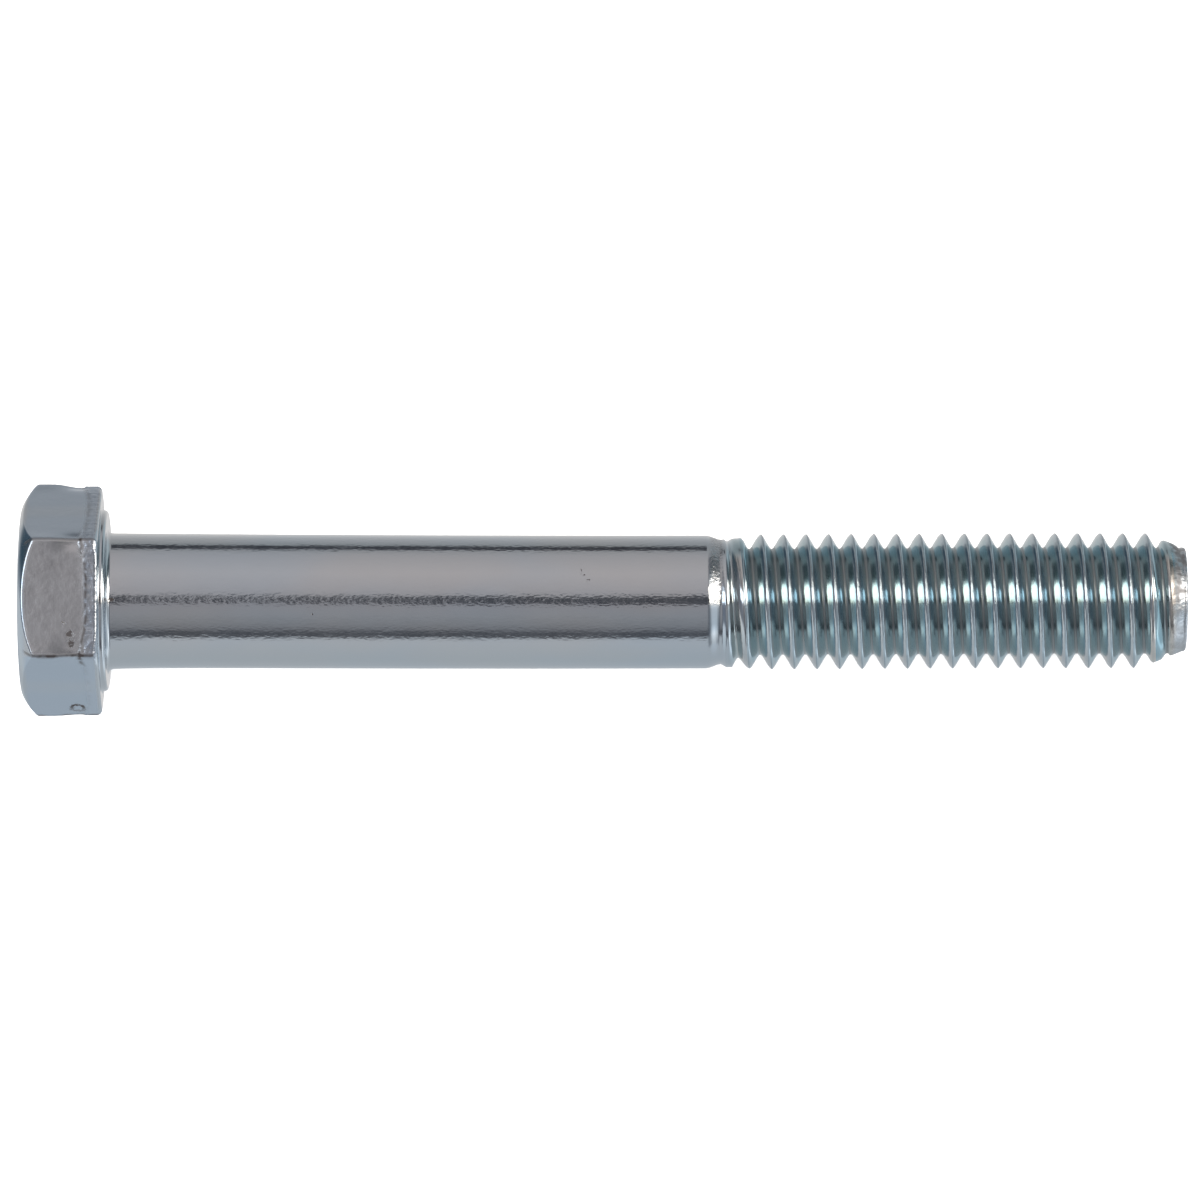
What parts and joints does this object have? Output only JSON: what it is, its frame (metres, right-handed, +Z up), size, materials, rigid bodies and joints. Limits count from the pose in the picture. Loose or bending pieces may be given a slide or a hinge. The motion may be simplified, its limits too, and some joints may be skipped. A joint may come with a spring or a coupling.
{
  "type": "hex bolt",
  "caption": "Partly threaded hexagon head cap screw in zinc plated steel, with a washer face under the head and a rolled right-hand thread.",
  "frame": {"origin": "centre of the head's flat top face, on the bolt's axis", "axes": "+X along the bolt's axis from the head to the point; +Z up out of one flat of the hexagon, so the bolt lies on its opposite flat; +Y towards a corner of the hexagon"},
  "size_m": [0.0817, 0.0164, 0.0142],
  "materials": {
    "zinc_plated_steel": "bright zinc plate with a clear bluish passivate, faint drawing and rolling marks along the body, trimming marks low on the head"
  },
  "bodies": {
    "root": {"hex_bolt": "zinc_plated_steel"}
  },
  "joints": []
}
